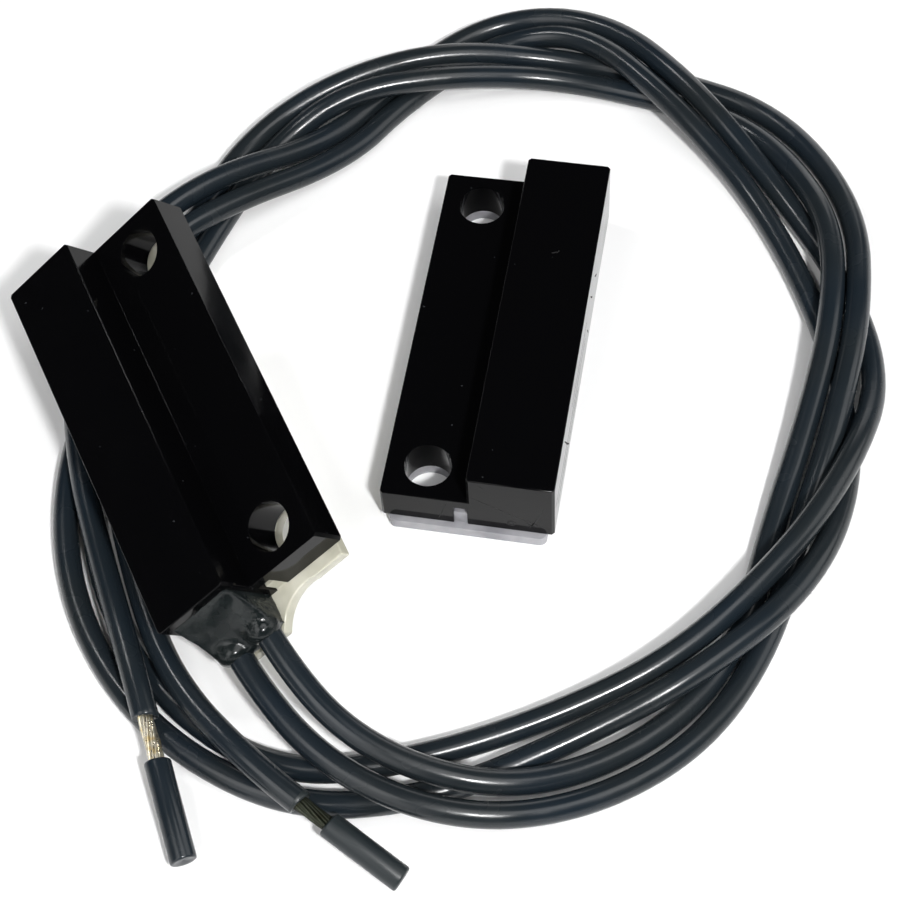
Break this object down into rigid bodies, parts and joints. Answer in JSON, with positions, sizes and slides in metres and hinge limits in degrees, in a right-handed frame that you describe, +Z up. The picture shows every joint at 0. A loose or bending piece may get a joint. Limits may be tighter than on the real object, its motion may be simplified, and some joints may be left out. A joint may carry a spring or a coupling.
{
  "type": "door contact sensor",
  "caption": "Surface-mount magnetic door contact: stepped magnet block beside a tilted reed-switch block with two loosely looped stripped leads.",
  "frame": {"origin": "centre of the magnet unit's underside, on the surface both units lie on", "axes": "+Z up out of the surface, +Y along the magnet unit, +X from its low step to its tall channel"},
  "size_m": [0.0954, 0.1172, 0.0235],
  "materials": {
    "black_abs": "gloss black moulded ABS, lightly scratched",
    "white_plate": "milky white moulded plate",
    "potting_resin": "cast epoxy",
    "grey_sealant": "semi-gloss tooled sealant",
    "capsule_glass": "drawn glass tube",
    "reed_alloy": "plated nickel-iron wire",
    "solder": "satin solder",
    "pvc_jacket": "satin charcoal extruded PVC",
    "tinned_copper": "twisted tinned copper strands",
    "magnet_alloy": "cast magnet alloy"
  },
  "bodies": {
    "switch_unit": {"switch_housing": "black_abs", "switch_base_plate": "white_plate", "switch_potting": "potting_resin", "exit_sealant": "grey_sealant", "reed_glass": "capsule_glass", "reed_wire_near": "reed_alloy", "reed_wire_far": "reed_alloy", "solder_joint_near": "solder", "solder_joint_far": "solder", "lead_1_jacket": "pvc_jacket", "lead_2_jacket": "pvc_jacket", "lead_1_bare_end": "tinned_copper", "lead_2_bare_end": "tinned_copper", "lead_1_slug": "pvc_jacket", "lead_2_slug": "pvc_jacket", "lead_1_inner_conductor": "tinned_copper", "lead_2_inner_conductor": "tinned_copper"},
    "magnet_unit": {"magnet_housing": "black_abs", "magnet_base_plate": "white_plate", "magnet_potting": "potting_resin", "magnet_bar": "magnet_alloy"},
    "reed_blade_near": {"reed_blade_near": "reed_alloy"},
    "reed_blade_far": {"reed_blade_far": "reed_alloy"}
  },
  "joints": [
    {"name": "door_travel", "type": "slide", "parent": "switch_unit", "child": "magnet_unit", "axis": [1, 0, 0], "range_m": [-0.006, 0.017]},
    {"name": "near_blade_bend", "type": "hinge", "parent": "switch_unit", "child": "reed_blade_near", "pos_m": [-0.03092, -0.02811, 0.01182], "axis": [0.6803, 0.4011, 0.6134], "range_deg": [0, 1], "stiffness_Nm_per_rad": 0.0003},
    {"name": "far_blade_bend", "type": "hinge", "parent": "switch_unit", "child": "reed_blade_far", "pos_m": [-0.03689, -0.01993, 0.01309], "axis": [0.6803, 0.4011, 0.6134], "range_deg": [0, 1], "stiffness_Nm_per_rad": 0.0003}
  ],
  "couplings": [
    {"joint": "far_blade_bend", "follows": "near_blade_bend", "ratio": 1}
  ]
}
